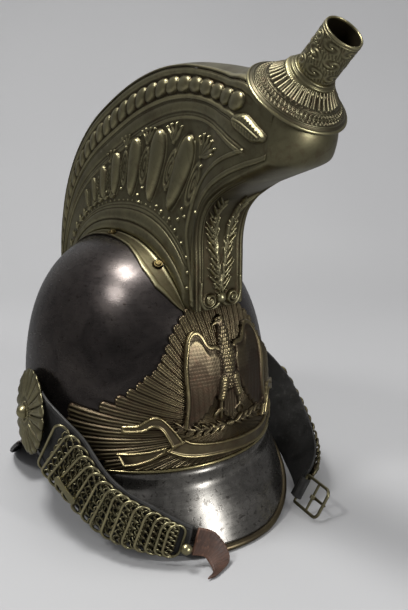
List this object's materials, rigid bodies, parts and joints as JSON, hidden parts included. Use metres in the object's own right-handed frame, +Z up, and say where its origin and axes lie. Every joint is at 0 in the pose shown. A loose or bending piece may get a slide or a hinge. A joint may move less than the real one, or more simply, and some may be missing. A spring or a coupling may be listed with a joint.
{
  "type": "cavalry helmet",
  "caption": "Old steel cavalry helmet with a tall forward-curling brass crest, a plume cup and socket, an eagle front plate, rosettes and ring-covered chin straps.",
  "frame": {"origin": "on the table plane under the middle of the skull, where the head enters", "axes": "+Z up through the crown, -Y towards the visor, -X towards the wearer's right"},
  "size_m": [0.2441, 0.3523, 0.3731],
  "materials": {
    "dark_steel": "burnished steel darkened nearly black with age",
    "visor_steel": "greyer steel, pitted and rubbed bright",
    "aged_brass": "dark olive brass with brown recesses and rubbed high points",
    "bright_brass": "brass kept brighter by handling",
    "black_leather": "old black strap leather",
    "brown_leather": "worn brown leather"
  },
  "bodies": {
    "helmet": {"skull": "dark_steel", "visor": "visor_steel", "visor_edging": "bright_brass", "visor_rivets": "bright_brass", "neck_guard": "dark_steel", "neck_guard_edging": "dark_steel", "neck_guard_rivets": "bright_brass", "front_plate": "aged_brass", "brow_moulding": "bright_brass", "crest_side_right": "aged_brass", "crest_side_left": "aged_brass", "crest_front": "aged_brass", "crest_ridge": "aged_brass", "crest_flange_right": "aged_brass", "crest_flange_left": "aged_brass", "crest_screws": "bright_brass", "crest_nuts": "bright_brass", "cup_seat": "aged_brass", "plume_cup": "aged_brass", "socket_collar": "bright_brass", "plume_socket": "aged_brass", "rosette_stud_right": "bright_brass", "rosette_stud_left": "bright_brass", "rosette_nuts": "bright_brass", "sweatband": "brown_leather", "crown_tongues": "brown_leather", "crown_cord": "brown_leather"},
    "strap_right": {"pivot_plate_right": "bright_brass", "strap_leather_right": "black_leather", "chain_rings_right": "aged_brass", "strap_rivets_right": "bright_brass", "rosette_right": "aged_brass", "chain_stud": "bright_brass", "chain_link_bar": "bright_brass", "strap_tongue": "brown_leather"},
    "strap_left": {"pivot_plate_left": "bright_brass", "strap_leather_left": "black_leather", "chain_rings_left": "aged_brass", "strap_rivets_left": "bright_brass", "rosette_left": "aged_brass", "buckle_loop": "black_leather", "buckle_bush": "bright_brass"},
    "buckle": {"buckle_frame": "aged_brass"},
    "prong": {"buckle_prong": "aged_brass"}
  },
  "joints": [
    {"name": "strap_right_swing", "type": "hinge", "parent": "helmet", "child": "strap_right", "pos_m": [-0.1001, 0.0055, 0.0913], "axis": [-1, 0, 0], "range_deg": [0, 60]},
    {"name": "strap_left_swing", "type": "hinge", "parent": "helmet", "child": "strap_left", "pos_m": [0.1001, 0.0055, 0.0913], "axis": [-1, 0, 0], "range_deg": [0, 60]},
    {"name": "buckle_turn", "type": "hinge", "parent": "strap_left", "child": "buckle", "pos_m": [0.0715, -0.1155, 0.0146], "axis": [0.5114, -0.1103, 0.8523], "range_deg": [-25, 35]},
    {"name": "prong_lift", "type": "hinge", "parent": "buckle", "child": "prong", "pos_m": [0.06747, -0.13201, 0.01488], "axis": [0.5114, -0.1103, 0.8523], "range_deg": [0, 75]}
  ]
}
